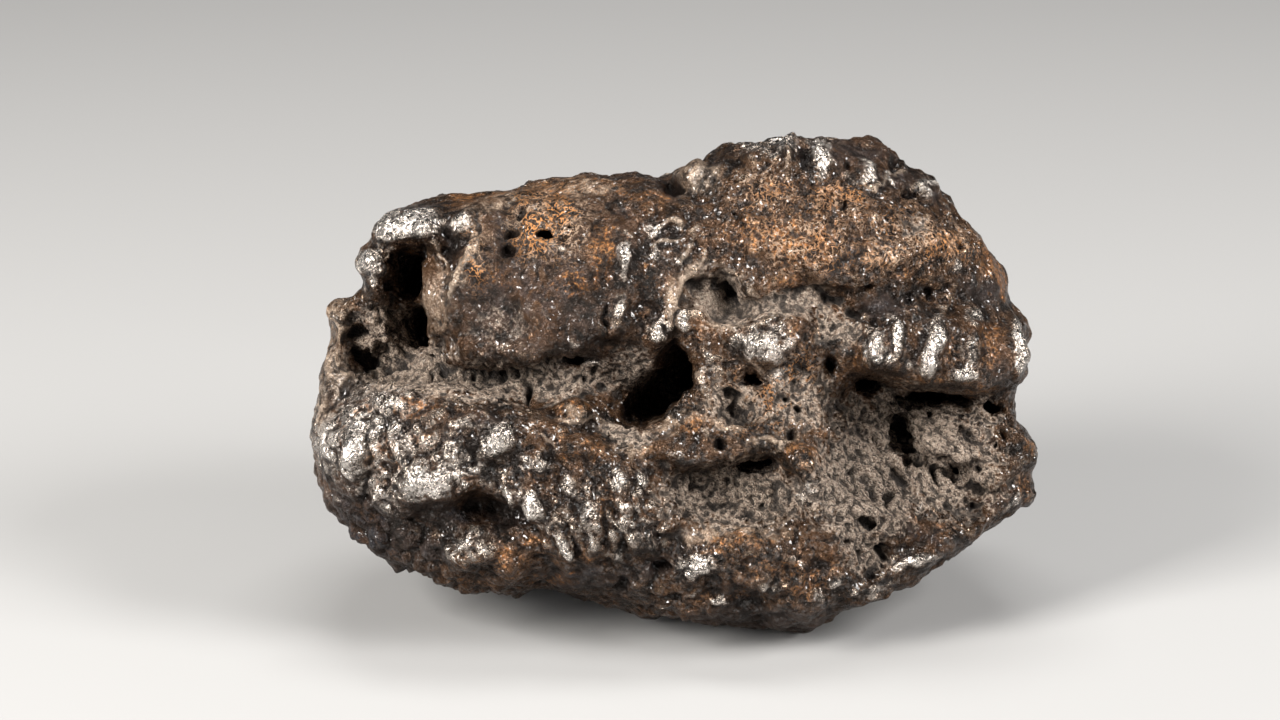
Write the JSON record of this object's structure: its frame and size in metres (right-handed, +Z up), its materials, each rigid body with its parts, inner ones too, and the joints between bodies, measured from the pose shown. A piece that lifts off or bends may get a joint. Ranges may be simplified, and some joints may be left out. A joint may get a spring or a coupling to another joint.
{
  "type": "iron meteorite",
  "caption": "Rough, rusty iron stone lying on its underside, with a broad front face of bulging lobes, ledges, porous hollows and deep blind holes, and a rounded, thumbprinted back.",
  "frame": {"origin": "the middle of the stone's box, on the surface that it stands on", "axes": "+X along the stone's length, to the viewer's right; +Y from the pitted front face to the back; +Z up"},
  "size_m": [0.1004, 0.0572, 0.0668],
  "materials": {
    "stone": "dark brown iron with a hammered sheen, rust-orange stains and matte grey-brown dust in the porous hollows"
  },
  "bodies": {
    "root": {"meteorite": "stone"}
  },
  "joints": []
}
